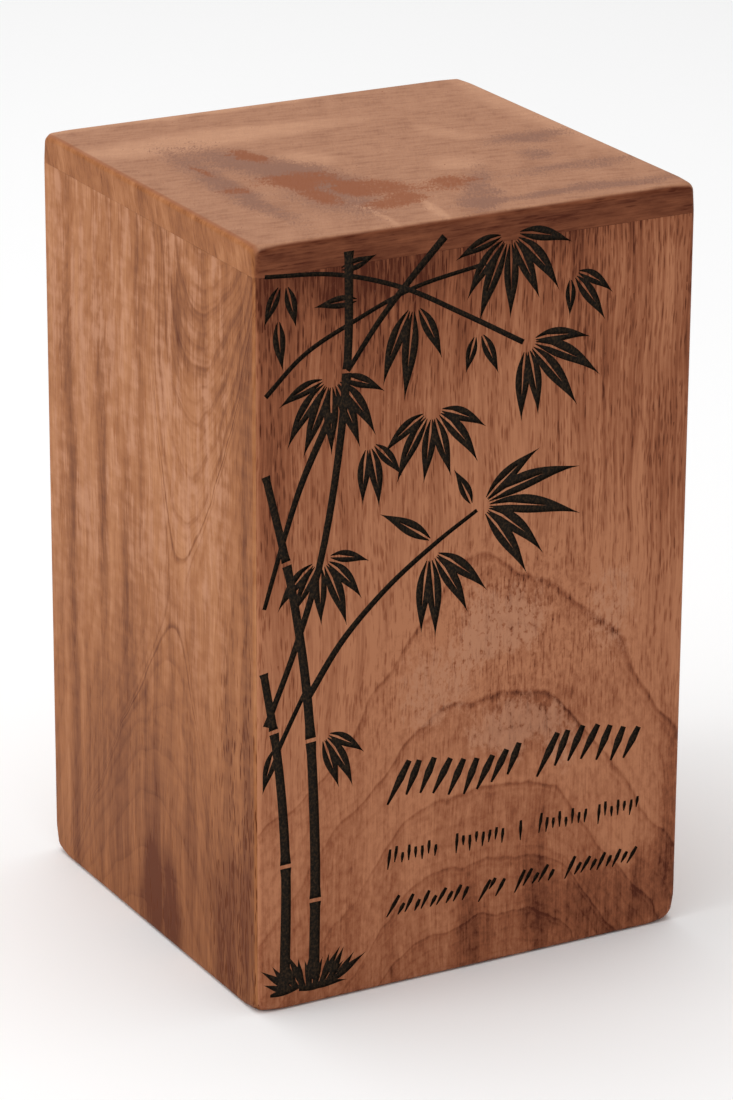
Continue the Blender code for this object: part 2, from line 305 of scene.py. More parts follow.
def leaf(base, heading, length, bend, fatness=LEAF_FATNESS, slit=True):
    ahead, aside = towards(heading, length), towards(heading + 90, length)

    def off_midrib(share, distance):
        turn = math.degrees(math.atan(2 * bend * share))
        middle = Vector(base) + ahead * share + aside * bend * share**2
        return middle + towards(heading + 90 + turn, distance)

    def half_width(share):
        swell = math.sin(math.pi * share**0.75) ** 1.4
        return fatness * math.sqrt(length) / 2 * swell + LEAF_FOOT * (1 - share) ** 3

    shares = [i / LEAF_STEPS for i in range(LEAF_STEPS)]
    left = [off_midrib(share, half_width(share)) for share in shares]
    right = [off_midrib(share, -half_width(share)) for share in reversed(shares)]
    outline = [*left, off_midrib(1.0, 0.0), *right]
    if slit:
        for share, side in ((0.0, -0.5), (0.35, -0.8), (1.0, 0.0), (0.35, 0.8), (0.0, 0.5)):
            outline.append(off_midrib(share * SLIT_END, side * LEAF_FOOT))
    return outline


# %% [markdown]
# ## Sprays of leaves
#
# Bamboo leaves hang from a twig's end like the ribs of a fan. Each spray needs the point where its
# leaves meet, the heading of the middle leaf, the angle from the first leaf to the last, and a leaf
# length. Leaves that lie level droop most, because their own weight bends them.

# %% Sprays and lone leaves
LEAVES_APART = 27
SPRAY_EYE = 3.2
LEVEL_DROOP = 0.26
SPRAYS = (
    ((9.4, 230), -96, 40, 18),
    ((25.0, 198), -90, 150, 23),
    ((52.0, 217), -92, 66, 27),
    ((84.0, 233), -88, 162, 24),
    ((104.5, 219), -50, 66, 17),
    ((73.5, 206), -84, 40, 17),
    ((90.0, 199), -44, 110, 26),
    ((58.5, 183), -84, 144, 22),
    ((37.0, 177), -72, 60, 20),
    ((75.0, 150), -1, 98, 32),
    ((58.0, 139), -66, 76, 27),
    ((21.5, 143), -78, 144, 20),
    ((21.5, 88), -48, 50, 20),
)
LONE_LEAVES = (
    ((7.6, 217), -90, 15),
    ((58, 142.5), 142, 20),
    ((72, 151.5), 112, 13),
    ((6.8, 86), -114, 15),
    ((33, 220), 176, 14),
    ((28, 230), 8, 12),
)


def spray(centre, heading, spread, length):
    outlines = []
    gaps = max(1, round(spread / LEAVES_APART))
    for i in range(gaps + 1):
        share = i / gaps - 0.5
        turned = heading + share * spread + 3 * math.sin(2.6 * i + length)
        longer = 1 - 0.5 * abs(share) + 0.1 * math.sin(4.4 * i + length)
        base = Vector(centre) + towards(turned, SPRAY_EYE)
        droop = 0.06 * math.sin(3.7 * i + length) - LEVEL_DROOP * math.cos(math.radians(turned))
        outlines.append(leaf(base, turned, length * longer, droop))
    return outlines


marks = [outline for values in SPRAYS for outline in spray(*values)]
marks += [leaf(base, heading, length, 0.1) for base, heading, length in LONE_LEAVES]
print(len(marks), "leaves")

# %% [markdown]
# ## Canes and branches
#
# A cane is a smooth line through a few points, thickened to a band. It is cut anew at each node
# with a small gap, and flares a little there, which is what makes it read as bamboo. Branches are
# thinner bands with no nodes. A row holds the points, the widths at the foot and the top, and for a
# cane the heights of its nodes.

# %% Canes and branches
NODE_GAP = 1.2
NODE_FLARE = 0.5
CANE_STEPS = 14
BRANCH_STEPS = 32
HALVINGS = 30
CANES = (
    (((19.4, 8), (19.7, 50), (17.4, 96), (12.0, 134), (3.4, 171)), 3.7, 2.4, (34, 86, 143)),
    (((9.4, 8), (9.8, 46), (7.4, 80), (2.6, 110)), 3.6, 2.5, (47, 91)),
    (((3.4, 93), (13.4, 117), (21.4, 142), (27.0, 172), (30.2, 204), (30.4, 235)), 1.9, 2.9, (199,)),
)
BRANCHES = (
    (((17.4, 100), (29, 116), (44, 130), (60, 141), (74, 149)), 2.4, 1.3),
    (((6.8, 84), (11, 92), (16.4, 102)), 1.7, 1.5),
    (((30.2, 199), (40, 212), (50, 223), (62, 235)), 1.6, 2.5),
    (((25, 187), (15.6, 168), (9.4, 151), (2.8, 130)), 2.6, 1.4),
    (((3.2, 231), (26, 228.6), (48, 221.6), (68, 211), (89, 199)), 1.3, 1.7),
    (((3.4, 195), (16, 206), (32, 213.6), (52, 221), (76, 225)), 1.6, 1.3),
)


def along(points, share):
    place = min(share, 0.9999) * (len(points) - 1)
    i = int(place)
    t = place - i
    a, b = Vector(points[i]), Vector(points[i + 1])
    before = Vector(points[i - 1]) if i > 0 else 2 * a - b
    after = Vector(points[i + 2]) if i + 2 < len(points) else 2 * b - a
    leave, arrive = (b - before) / 2, (after - a) / 2
    point = (
        (2 * t**3 - 3 * t**2 + 1) * a + (t**3 - 2 * t**2 + t) * leave
        + (3 * t**2 - 2 * t**3) * b + (t**3 - t**2) * arrive
    )
    pace = (
        (6 * t**2 - 6 * t) * (a - b) + (3 * t**2 - 4 * t + 1) * leave + (3 * t**2 - 2 * t) * arrive
    )
    return point, math.degrees(math.atan2(pace.y, pace.x))


def stem(points, width_low, width_high, steps, start=0.0, end=1.0, flare=0.0):
    left, right = [], []
    for i in range(steps + 1):
        share = start + (end - start) * i / steps
        point, heading = along(points, share)
        width = width_low + (width_high - width_low) * share
        if i in (0, steps):
            width += flare
        left.append(point + towards(heading + 90, width / 2))
        right.append(point + towards(heading - 90, width / 2))
    return [*left, *reversed(right)]


def share_at_height(points, height):
    low, high = 0.0, 1.0
    for _ in range(HALVINGS):
        middle = (low + high) / 2
        if along(points, middle)[0].y < height:
            low = middle
        else:
            high = middle
    return low


def cane(points, width_low, width_high, nodes):
    cuts = [points[0][1] - NODE_GAP / 2, *nodes, points[-1][1] + NODE_GAP / 2]
    outlines = []
    for low, high in zip(cuts, cuts[1:]):
        start = share_at_height(points, low + NODE_GAP / 2)
        end = share_at_height(points, high - NODE_GAP / 2)
        outlines.append(stem(points, width_low, width_high, CANE_STEPS, start, end, NODE_FLARE))
    return outlines


for values in CANES:
    marks += cane(*values)
marks += [stem(*values, BRANCH_STEPS) for values in BRANCHES]
print(len(marks), "marks with the canes and branches")

# %% [markdown]
# ## Grass and the rows of strokes
#
# A tuft of blades hides where the canes meet the ground. Lower right, three rows of slanted brush
# strokes fill the space beside the canes. The table gives each row's height, then the length, width,
# heading and pitch of its strokes, and where its groups begin and end.

# %% Grass and strokes
GRASS_SPAN = (4.5, 32)
GRASS_BLADES = 17
GRASS_HEIGHT = 14
GRASS_GROUND = 6.0
ROWS = (
    (65.5, 15.0, 2.7, 64, 5.0, ((48, 86), (100, 130))),
    (42.5, 6.6, 1.2, 86, 2.3, ((45, 62), (68.5, 85), (91, 92), (98, 114), (119, 132.5))),
    (25.5, 7.8, 1.5, 60, 2.8, ((46.5, 72), (78.5, 85), (91, 103), (109, 130.5))),
)


def grass():
    low, high = GRASS_SPAN
    middle = (low + high) / 2
    outlines = []
    for i in range(GRASS_BLADES):
        share = i / (GRASS_BLADES - 1)
        heading = 142 - 104 * share + 13 * (-1) ** i
        height = GRASS_HEIGHT * (0.62 + 0.38 * math.sin(2.4 * i) ** 2)
        base = (middle + (low - middle) * 0.6 * (1 - 2 * share), GRASS_GROUND)
        outlines.append(leaf(base, heading, height, 0.0, BLADE_FATNESS, slit=False))
    half = (high - low) / 2
    for start, heading, bend in ((low, 4, 0.05), (middle - 4, 0, 0.04), (middle - 1, 3, -0.06)):
        foot = (start, GRASS_GROUND - LEAF_FOOT)
        outlines.append(leaf(foot, heading, half, bend, BLADE_FATNESS, slit=False))
    return outlines


def brush_stroke(middle, heading, length, width):
    tip = Vector(middle) - towards(heading, length / 2)
    sides = ((0.0, 0.14), (0.6, 0.5), (1.0, 0.36))
    left = [tip + towards(heading, length * s) + towards(heading + 90, width * w) for s, w in sides]
    right = [tip + towards(heading, length * s) - towards(heading + 90, width * w) for s, w in sides]
    return [*left, *reversed(right)]


def stroke_row(height, length, width, heading, pitch, groups):
    outlines = []
    for start, end in groups:
        gaps = round((end - start) / pitch)
        for i in range(gaps + 1):
            x = start + i * pitch
            size = length * (1.0 if i == 0 else 0.5 + 0.3 * math.cos(0.6 * x) ** 2)
            lift = 0.12 * length * math.sin(1.1 * x)
            leaning = heading + 4 * math.sin(0.37 * x)
            outlines.append(brush_stroke((x, height + lift), leaning, size, width))
    return outlines


marks += grass()
for row in ROWS:
    marks += stroke_row(*row)
print(len(marks), "marks in all")

# %% [markdown]
# ## Cutting the picture
#
# A laser burns the picture most of a millimetre deep and leaves a charred floor. Every outline
# becomes a prism that passes through the front, and one exact Boolean cuts them all, also where
# they overlap. The prisms carry material slot 1, so the floors and walls of the cuts come out
# with it, ready for the charred finish. The top of the picture runs on into the lid.

# %% Cut the front and the lid
BURN_DEPTH = 0.0008
SHEET_WIDTH, SHEET_HEIGHT = 148, 240


def burning_tool():
    across, up = CASE_WIDTH / SHEET_WIDTH, CASE_HEIGHT / SHEET_HEIGHT
    floor = BURN_DEPTH - CASE_DEPTH / 2
    maker = bmesh.new()
    for outline in marks:
        placed = [(x * across - CASE_WIDTH / 2, floor, y * up) for x, y in outline]
        add_prism(maker, placed, Vector((0, -BURN_DEPTH - OVERSHOOT, 0)), slot=1)
    return new_object("burning_tool", maker)


wood_slot = bpy.data.materials.new("bare_wood")
char_slot = bpy.data.materials.new("burnt_wood")
tool = burning_tool()
for cut in (tool, front_wall, lid_board):
    cut.data.materials.append(wood_slot)
    cut.data.materials.append(char_slot)
for board in (front_wall, lid_board):
    add_boolean(board, tool, "DIFFERENCE", use_self=True)

boards = (front_wall, right_wall, back_wall, left_wall, lid_board)
for board in boards:
    finished(board)
    print(board.name, len(board.data.polygons), "faces")
for helper in (form, tool):
    bpy.data.objects.remove(helper)

# %% [markdown]
# ## Clean shading
#
# A rounded edge beside a flat face shades badly if their shared corners average both directions.
# Marking real corners sharp and weighting the rest by face area keeps the flats flat and the
# roundings smooth, without adding a face.

# %% Shade the boards
SHARP_ANGLE = 35
for board in boards:
    board.data.shade_smooth()
    board.data.set_sharp_from_angle(angle=math.radians(SHARP_ANGLE))
    weighted = board.modifiers.new("Flat faces lead", "WEIGHTED_NORMAL")
    weighted.keep_sharp = True
    weighted.weight = 100
print("edges sharper than", SHARP_ANGLE, "degrees stay sharp")

# %% [markdown]
# ## Fields: numbers that change over the wood
#
# A procedural wood is arithmetic on position. Writing it with one Math node per line is long, so
# a small class lets two fields be added or multiplied like numbers, and places the node each time.

# %% A field and the nodes behind it
def feed(tree, value, socket):
    if isinstance(value, Field):
        tree.links.new(value.socket, socket)
    else:
        socket.default_value = value


class Field:
    def __init__(self, tree, socket):
        self.tree, self.socket = tree, socket

    def maths(self, operation, *others):
        node = self.tree.nodes.new("ShaderNodeMath")
        node.operation = operation
        for value, socket in zip((self, *others), node.inputs):
            feed(self.tree, value, socket)
        return Field(self.tree, node.outputs[0])

    def __add__(self, other):
        return self.maths("ADD", other)

    def __sub__(self, other):
        return self.maths("SUBTRACT", other)

    def __mul__(self, other):
        return self.maths("MULTIPLY", other)

    def __truediv__(self, other):
        return self.maths("DIVIDE", other)

    def smooth_step(self, start, end, low=0.0, high=1.0):
        node = self.tree.nodes.new("ShaderNodeMapRange")
        node.interpolation_type = "SMOOTHSTEP"
        for value, socket in zip((self, start, end, low, high), node.inputs):
            feed(self.tree, value, socket)
        return Field(self.tree, node.outputs[0])


def combined(tree, x, y, z):
    node = tree.nodes.new("ShaderNodeCombineXYZ")
    for value, socket in zip((x, y, z), node.inputs):
        feed(tree, value, socket)
    return Field(tree, node.outputs[0])


def noise(tree, x, y, z, detail=3.0, roughness=0.55):
    at = combined(tree, x, y, z)
    node = tree.nodes.new("ShaderNodeTexNoise")
    for label, value in (("Vector", at), ("Scale", 1.0), ("Detail", detail), ("Roughness", roughness)):
        feed(tree, value, node.inputs[label])
    return Field(tree, node.outputs["Fac"])


# %% [markdown]
# ## Node groups
#
# Every board needs the same effects with other values, so each effect is a node group with named
# sockets, built once. `new_group` makes the sockets, and `placed` puts a group in a material and
# hands back its outputs as fields.

# %% Make and place groups
def new_group(name, inputs, outputs):
    group = bpy.data.node_groups.new(name, "ShaderNodeTree")
    for label, value in inputs.items():
        kind = "NodeSocketColor" if isinstance(value, tuple) else "NodeSocketFloat"
        socket = group.interface.new_socket(label, in_out="INPUT", socket_type=kind)
        socket.default_value = value
    for label, kind in outputs.items():
        group.interface.new_socket(label, in_out="OUTPUT", socket_type=kind)
    came = group.nodes.new("NodeGroupInput")
    gone = group.nodes.new("NodeGroupOutput")
    return group, [Field(group, came.outputs[label]) for label in inputs], gone.inputs


def placed(tree, group, **values):
    node = tree.nodes.new("ShaderNodeGroup")
    node.node_tree = group
    for label, value in values.items():
        feed(tree, value, node.inputs[label.replace("_", " ").capitalize()])
    outputs = [Field(tree, socket) for socket in node.outputs]
    return outputs[0] if len(outputs) == 1 else outputs


FLOAT, COLOUR = "NodeSocketFloat", "NodeSocketColor"

# %% [markdown]
# ## Fibre, streaks and pores
#
# Close up, this hardwood shows three things: fine fibre, broader light and dark streaks, and pores
# that look like short dark dashes, because the saw opened the tree's vessels lengthwise. Fibre and
# streaks are noise stretched along the grain. Pores are the cells of a stretched Voronoi pattern,
# of which only a share is kept, so that they don't fall in rows.

# %% Group: wood grain
def wood_grain():
    inputs = {
        "Across": 0.0, "Depth": 0.0, "Along": 0.0, "Fibre width": 0.7, "Fibre length": 14.0,
        "Streak width": 4.5, "Streak length": 90.0,
        "Pore width": 0.7, "Pore length": 5.5, "Pore share": 0.6,
    }
    outputs = {"Fibre": FLOAT, "Streaks": FLOAT, "Pores": FLOAT}
    group, fields, results = new_group("wood grain", inputs, outputs)
    across, depth, lengthwise, fibre_width, fibre_length, streak_width, streak_length = fields[:7]
    pore_width, pore_length, share = fields[7:]

    def stretched(width, length):
        return across / width, depth / width, lengthwise / length

    fibre = noise(group, *stretched(fibre_width, fibre_length), detail=2.0, roughness=0.6)
    feed(group, fibre, results["Fibre"])
    streaks = noise(group, *stretched(streak_width, streak_length), detail=4.0, roughness=0.65)
    feed(group, streaks, results["Streaks"])
    cells = group.nodes.new("ShaderNodeTexVoronoi")
    feed(group, combined(group, *stretched(pore_width, pore_length)), cells.inputs["Vector"])
    cells.inputs["Scale"].default_value = 1.0
    chance = group.nodes.new("ShaderNodeSeparateColor")
    group.links.new(cells.outputs["Color"], chance.inputs[0])
    crowding = noise(group, *stretched(7, 26), detail=2.0).smooth_step(0.3, 0.7, 0.25, 1.3)
    chosen = Field(group, chance.outputs[0]).maths("LESS_THAN", share * crowding)
    opened = Field(group, cells.outputs["Distance"]).smooth_step(0.25, 0.55, 1.0, 0.0)
    feed(group, opened * chosen, results["Pores"])
    return group


# %% [markdown]
# ## Growth rings
#
# A ring index grows by one from each growth ring to the next. Its fraction tells how far through
# the ring a point is: the wood darkens slowly through the ring and ends in a thin dark line.

# %% Group: growth rings
def growth_rings():
    inputs = {"Ring": 0.0, "Line width": 0.1}
    group, fields, results = new_group("growth rings", inputs, {"Line": FLOAT, "Shade": FLOAT})
    ring, line_width = fields
    through = ring.maths("FRACT")
    near_end = (through * -1 + 1).smooth_step(0.0, line_width, 1.0, 0.0)
    just_after = through.smooth_step(0.0, line_width * 0.4, 1.0, 0.0)
    feed(group, near_end + just_after, results["Line"])
    feed(group, through * through, results["Shade"])
    return group


# %% [markdown]
# ## Soft patches
#
# Figured wood has cloudy light and dark places. A patch is an ellipse with a soft edge. The
# position that it is given has already been disturbed by noise, so its outline isn't regular.

# %% Group: soft patch
def soft_patch():
    inputs = {
        "Across": 0.0, "Along": 0.0, "Middle across": 0.0, "Middle along": 0.0,
        "Half width": 10.0, "Half length": 10.0, "Lean": 0.0, "Softness": 0.5,
    }
    group, fields, results = new_group("soft patch", inputs, {"Mask": FLOAT})
    across, lengthwise, middle_across, middle_along, half_width, half_length, lean, softness = fields
    up = lengthwise - middle_along
    aside = (across - middle_across - up * lean) / half_width
    up = up / half_length
    reach = (aside * aside + up * up).maths("SQRT")
    mask = reach.smooth_step(softness * -1 + 1, softness + 1, 1.0, 0.0)
    feed(group, mask, results["Mask"])
    return group


# %% [markdown]
# ## Wood colour
#
# One number, the tone, runs from the darkest heartwood to the palest. A group turns it into a
# colour between three browns of one wood, so that a board changes its whole palette with three
# inputs.

# %% Group: wood colour
def wood_colour():
    inputs = {"Tone": 0.5, "Dark": (0, 0, 0, 1), "Middle": (0.5, 0.5, 0.5, 1), "Light": (1, 1, 1, 1)}
    group, fields, results = new_group("wood colour", inputs, {"Colour": COLOUR})
    tone, dark, middle, light = fields
    lower = blended(group, (tone * 2).maths("MINIMUM", 1.0), dark, middle)
    feed(group, blended(group, tone * 2 - 1, lower, light), results["Colour"])
    return group


def blended(tree, share, first, second):
    node = tree.nodes.new("ShaderNodeMix")
    node.data_type = "RGBA"
    node.clamp_factor = True
    feed(tree, share, node.inputs[0])
    feed(tree, first, node.inputs[6])
    feed(tree, second, node.inputs[7])
    return Field(tree, node.outputs[2])


WOOD_GRAIN = wood_grain()
GROWTH_RINGS = growth_rings()
SOFT_PATCH = soft_patch()
WOOD_COLOUR = wood_colour()
print("node groups:", [group.name for group in bpy.data.node_groups])

# %% [markdown]
# ## Where a point lies on its board
#
# A tree doesn't know which way a board faces, so each board gets its own coordinates in
# millimetres: across its face from its left edge as you look at it, along it upwards, and depth
# into the wood. One Mapping node turns and shifts the object's coordinates into those.

# %% Board coordinates
def board_coordinates(tree, face):
    width, depth = CASE_WIDTH / 2 * MM, CASE_DEPTH / 2 * MM
    turn, shift = {
        "front": ((0, 0, 0), (width, depth, 0)),
        "right": ((0, 0, -90), (depth, width, 0)),
        "back": ((0, 0, 180), (width, depth, 0)),
        "left": ((0, 0, 90), (depth, width, 0)),
        "top": ((90, 0, 0), (width, CASE_HEIGHT * MM, depth)),
    }[face]
    source = tree.nodes.new("ShaderNodeTexCoord")
    mapping = tree.nodes.new("ShaderNodeMapping")
    mapping.inputs["Scale"].default_value = (MM, MM, MM)
    mapping.inputs["Rotation"].default_value = [math.radians(angle) for angle in turn]
    mapping.inputs["Location"].default_value = shift
    tree.links.new(source.outputs["Object"], mapping.inputs["Vector"])
    split = tree.nodes.new("ShaderNodeSeparateXYZ")
    tree.links.new(mapping.outputs[0], split.inputs[0])
    return [Field(tree, socket) for socket in split.outputs]


# %% [markdown]
# ## From fields to a varnished material
#
# A palette is a dark, a middle and a light brown, and the boards differ a little. The finish is a
# thin satin varnish: fairly rough, with a weak clear coat that only shows along the rounded edges.
# Pores, and the lid's coarser fibre, stay slightly open under it: there the wood is rougher and a
# little lower.

# %% Palettes and the varnish
def from_screen(red, green, blue):
    def linear(value):
        value /= 255
        return value / 12.92 if value <= 0.04045 else ((value + 0.055) / 1.055) ** 2.4
    return (linear(red), linear(green), linear(blue), 1.0)


PALETTES = {
    "front": (from_screen(84, 38, 22), from_screen(150, 89, 60), from_screen(188, 125, 90)),
    "side": (from_screen(98, 48, 22), from_screen(158, 100, 61), from_screen(192, 134, 93)),
    "top": (from_screen(112, 64, 42), from_screen(166, 118, 90), from_screen(190, 141, 110)),
}
SATIN_ROUGHNESS, OPEN_ROUGHNESS = 0.44, 0.6
print("palettes:", ", ".join(PALETTES))


def wood(name, face, palette, figure):
    material = bpy.data.materials.new(name)
    material.use_nodes = True
    tree = material.node_tree
    shader = tree.nodes["Principled BSDF"]
    across, depth, lengthwise = board_coordinates(tree, face)
    tone, opened, stains_and_shade = figure(tree, across, depth, lengthwise)
    colour = coloured(tree, tone, palette)
    for mask, overlay_colour in stains_and_shade:
        colour = blended(tree, mask, colour, overlay_colour)
    feed(tree, colour, shader.inputs["Base Color"])
    roughness = opened.smooth_step(0.0, 1.0, SATIN_ROUGHNESS, OPEN_ROUGHNESS)
    feed(tree, roughness, shader.inputs["Roughness"])
    shader.inputs["Specular IOR Level"].default_value = 0.04
    shader.inputs["Coat Weight"].default_value = 0.05
    shader.inputs["Coat Roughness"].default_value = 0.25
    bump = tree.nodes.new("ShaderNodeBump")
    bump.inputs["Strength"].default_value = 0.2
    bump.inputs["Distance"].default_value = 0.0002
    feed(tree, opened * -1 + 1, bump.inputs["Height"])
    tree.links.new(bump.outputs[0], shader.inputs["Normal"])
    return material


def coloured(tree, tone, palette):
    dark, middle, light = PALETTES[palette]
    return placed(tree, WOOD_COLOUR, tone=tone, dark=dark, middle=middle, light=light)


# %% [markdown]
# ## The front's figure
#
# The saw has cut the front's lower half almost along the tree's side, so its rings show as arches
# one inside the other. An arch is a hyperbola, steeper on its left. The ring index is the logarithm
# of the height above a point under the board, so the arches spread as they climb. Above them the
# grain runs straight, and pores do most of the work. Dark specks and pale blushes break up the
# arches' tops.

# %% Figure of the front
PATCH_COLUMNS = ("middle_across", "middle_along", "half_width", "half_length", "lean", "softness")


def patches(tree, across, lengthwise, table):
    total = None
    for amount, *values in table:
        named = dict(zip(PATCH_COLUMNS, values))
        mask = placed(tree, SOFT_PATCH, across=across, along=lengthwise, **named)
        total = mask * amount if total is None else total + mask * amount
    return total


def grained(tree, across, depth, lengthwise, **values):
    return placed(tree, WOOD_GRAIN, across=across, depth=depth, along=lengthwise, **values)


def wandering(tree, across, depth, lengthwise, width, length, size):
    waves = noise(tree, across / width, depth / width, lengthwise / length, detail=2.0)
    return (waves - 0.5) * size


# a paler line down the box's near corner, on the front and the left side: painted highlight
NEAR_CORNER_HIGHLIGHT = 0.3
ARCH_MIDDLE, ARCH_CREST = 78, 45
RINGS_BELOW, INNERMOST_RING, RING_GROWTH = 61, 96, 1.25
# each table of patches: amount, middle across and up, half width and height, lean, softness
FRONT_PATCHES = (
    (0.26, 78, 84, 90, 66, 0.0, 0.6),
    # the next four rows and the row at 110 across, 216 up darken the front's top under the lid: painted
    # shade
    (-0.20, 74, 238, 110, 14, 0.0, 0.7),
    (-0.20, 36, 232, 60, 14, 0.0, 0.7),
    (-0.20, 48, 212, 30, 22, 0.0, 0.7),
    (-0.18, 14, 224, 20, 14, 0.0, 0.7),
    (-0.26, 2, 196, 9, 48, 0.0, 0.6),
    (-0.16, 110, 216, 18, 30, 0.0, 0.7),
    (0.10, 134, 212, 9, 30, 0.0, 0.6),
    (-0.14, 147, 190, 5, 50, 0.0, 0.6),
    (0.16, 80, 166, 26, 34, 0.0, 0.7),
    (0.14, 56, 108, 16, 22, 0.3, 0.6),
    (0.10, 120, 118, 18, 26, 0.0, 0.7),
    (-0.24, 98, 76, 20, 12, 0.0, 0.6),
    (-0.14, 84, 46, 22, 10, 0.0, 0.5),
    (0.12, 124, 62, 14, 12, -0.4, 0.6),
    (0.22, 130, 34, 8, 12, 0.2, 0.6),
    (-0.26, 74, 12, 7, 16, 0.0, 0.5),
    (-0.34, 98, 18, 5, 26, 0.0, 0.6),
    (-0.12, 88, 20, 32, 20, 0.0, 0.8),
    (-0.28, 126, 12, 24, 14, 0.0, 0.5),
    (0.14, 64, 14, 4, 14, 0.0, 0.5),
    (-0.26, 145, 36, 5, 34, 0.0, 0.6),
    (0.12, 3, 40, 5, 24, 0.0, 0.6),
)
CREST_DIP = ((7, 74, 126, 11, 16, 0.0, 0.5),)
SPECKLED = ((1.0, 88, 110, 34, 26, 0.0, 0.7),)
BLUSHES = (
    (1.0, 84, 112, 15, 12, 0.0, 0.6),
    (1.0, 86, 78, 14, 9, 0.0, 0.6),
    (0.8, 62, 96, 14, 14, 0.3, 0.6),
    (0.7, 122, 110, 9, 16, 0.0, 0.6),
    (0.7, 104, 70, 8, 10, 0.0, 0.6),
)
PALE_SAPWOOD = from_screen(196, 143, 113)
print(len(FRONT_PATCHES), "patches on the front")


def front_figure(tree, across, depth, lengthwise):
    bent = across + wandering(tree, across, depth, lengthwise, 30, 70, 7.0)
    fibre, streaks, pores = grained(tree, bent, depth, lengthwise, pore_share=0.7)
    stripes, _, _ = grained(tree, bent, depth, lengthwise, fibre_width=1.6, fibre_length=60.0)
    cloud_across = across + wandering(tree, across, depth, lengthwise, 9, 22, 9.0)
    cloud_up = lengthwise + wandering(tree, across + 40, depth, lengthwise, 9, 30, 22.0)
    # cloudy figure, with painted shade along the front's top
    clouds = patches(tree, cloud_across, cloud_up, FRONT_PATCHES)

    raised = lengthwise + wandering(tree, across, depth, lengthwise, 20, 30, 9.0)
    raised = raised + wandering(tree, across, depth, lengthwise, 8, 12, 3.5)
    raised = raised - patches(tree, across, lengthwise, CREST_DIP)
    aside = across + wandering(tree, across, depth, lengthwise + 70, 20, 30, 8.0) - ARCH_MIDDLE
    left_slope = raised.smooth_step(55.0, 90.0, 1.5, 2.3)
    right_slope = raised.smooth_step(78.0, 112.0, 1.7, 1.2)
    flatness = raised.smooth_step(80.0, 115.0, 0.1, 0.8)
    shoulder = aside.maths("ABSOLUTE").smooth_step(6.0, 46.0, flatness, 1.0)
    slope = aside.smooth_step(-12.0, 12.0, left_slope, right_slope) * shoulder
    height = raised + ((aside * aside + ARCH_CREST**2).maths("SQRT") - ARCH_CREST) * slope
    above_pith = (height + RINGS_BELOW).maths("MAXIMUM", 1.0)
    ring = (above_pith / INNERMOST_RING).maths("LOGARITHM", RING_GROWTH)
    line, shade = placed(tree, GROWTH_RINGS, ring=ring, line_width=0.085)
    echo, _ = placed(tree, GROWTH_RINGS, ring=ring * 4 + 0.4, line_width=0.3)
    arched = height.smooth_step(126.0, 150.0, 1.0, 0.0)
    line = line * lengthwise.smooth_step(25.0, 80.0, 0.5, 1.0) * across.smooth_step(15.0, 60.0, 0.6, 1.0)

    pores = pores * lengthwise.smooth_step(50.0, 105.0, 0.35, 1.0)
    mottled = noise(tree, across / 2.4, depth / 2.4, lengthwise / 3.6, detail=5.0, roughness=0.7)
    speckled = patches(tree, cloud_across, cloud_up, SPECKLED)
    specks = noise(tree, across / 1.3, depth / 1.3, lengthwise / 1.9, detail=4.0)
    specks = specks.smooth_step(0.52, 0.7) * (speckled * 0.8 + arched * 0.25)
    striped = across.smooth_step(86.0, 112.0) * lengthwise.smooth_step(90.0, 150.0) + 0.3
    upright = (fibre - 0.5) * 0.9 + (streaks - 0.5) * 1.2
    tone = upright * (arched * -0.4 + 1) + (stripes - 0.5) * striped + 0.66
    tone = tone + (mottled - 0.5) * (arched * 0.8 + speckled * 0.6 + 0.3) - specks * 0.34
    tone = tone - pores * 0.32 - (line * 0.37 + echo * 0.08 + shade * 0.12) * arched + clouds
    # lighter along the near corner: painted highlight
    corner_highlight = across.smooth_step(0.6, 2.0, NEAR_CORNER_HIGHLIGHT, 0.0)
    blushed = patches(tree, cloud_across, cloud_up, BLUSHES) + (mottled - 0.5) * 2.4 - specks
    return tone + corner_highlight, pores, ((blushed.smooth_step(0.3, 1.0) * 0.5, PALE_SAPWOOD),)


# %% [markdown]
# ## The left side's figure
#
# The left board shows loops that hang down above a waist, and upturned Vs below it: the saw passed
# a bend in the trunk. Both are level lines of one saddle, height squared minus width squared, and
# the same field supplies the upright streaks beside them. Where the rings crowd together, a ring
# line takes a larger share of its ring, so that all lines look equally wide. Pale columns stand
# above the waist.

# %% Figure of the left side
SIDE_PATCHES = (
    (-0.20, 90, 10, 110, 52, 0.0, 0.8),
    (-0.14, 100, 60, 60, 40, 0.0, 0.8),
    (-0.16, 96, 203, 13, 15, 0.0, 0.6),
    (0.16, 98, 155, 26, 36, 0.0, 0.6),
    (0.12, 26, 176, 54, 70, 0.0, 0.6),
    (-0.26, 17, 120, 4, 125, 0.0, 0.7),
    (-0.26, 40, 155, 4, 52, 0.0, 0.6),
    (-0.24, 58, 110, 4, 55, 0.0, 0.6),
    (-0.20, 67, 200, 4, 40, 0.0, 0.6),
    (-0.34, 77, 10, 15, 18, 0.0, 0.5),
    (-0.22, 126, 20, 12, 26, 0.0, 0.5),
    (-0.14, 134, 150, 8, 100, 0.0, 0.6),
    (-0.22, 140, 205, 5, 40, 0.0, 0.6),
    (0.10, 4, 210, 6, 40, 0.0, 0.6),
    (0.12, 110, 60, 14, 50, 0.0, 0.7),
)
WAIST, LOOPS_MIDDLE, LOOPS_LEAN = 120, 91, 0.18
print(len(SIDE_PATCHES), "patches on the left side")


def saddle_field(across, lengthwise):
    from_waist = lengthwise - WAIST
    aside = across - from_waist * LOOPS_LEAN - LOOPS_MIDDLE
    narrowing = lengthwise.smooth_step(150.0, 225.0, 7.8, 5.0)
    up, out = from_waist / 16, aside / narrowing
    slope_up, slope_out = up / 8, out * 2 / narrowing
    steepness = (slope_up * slope_up + slope_out * slope_out).maths("SQRT")
    return up * up - out * out, steepness


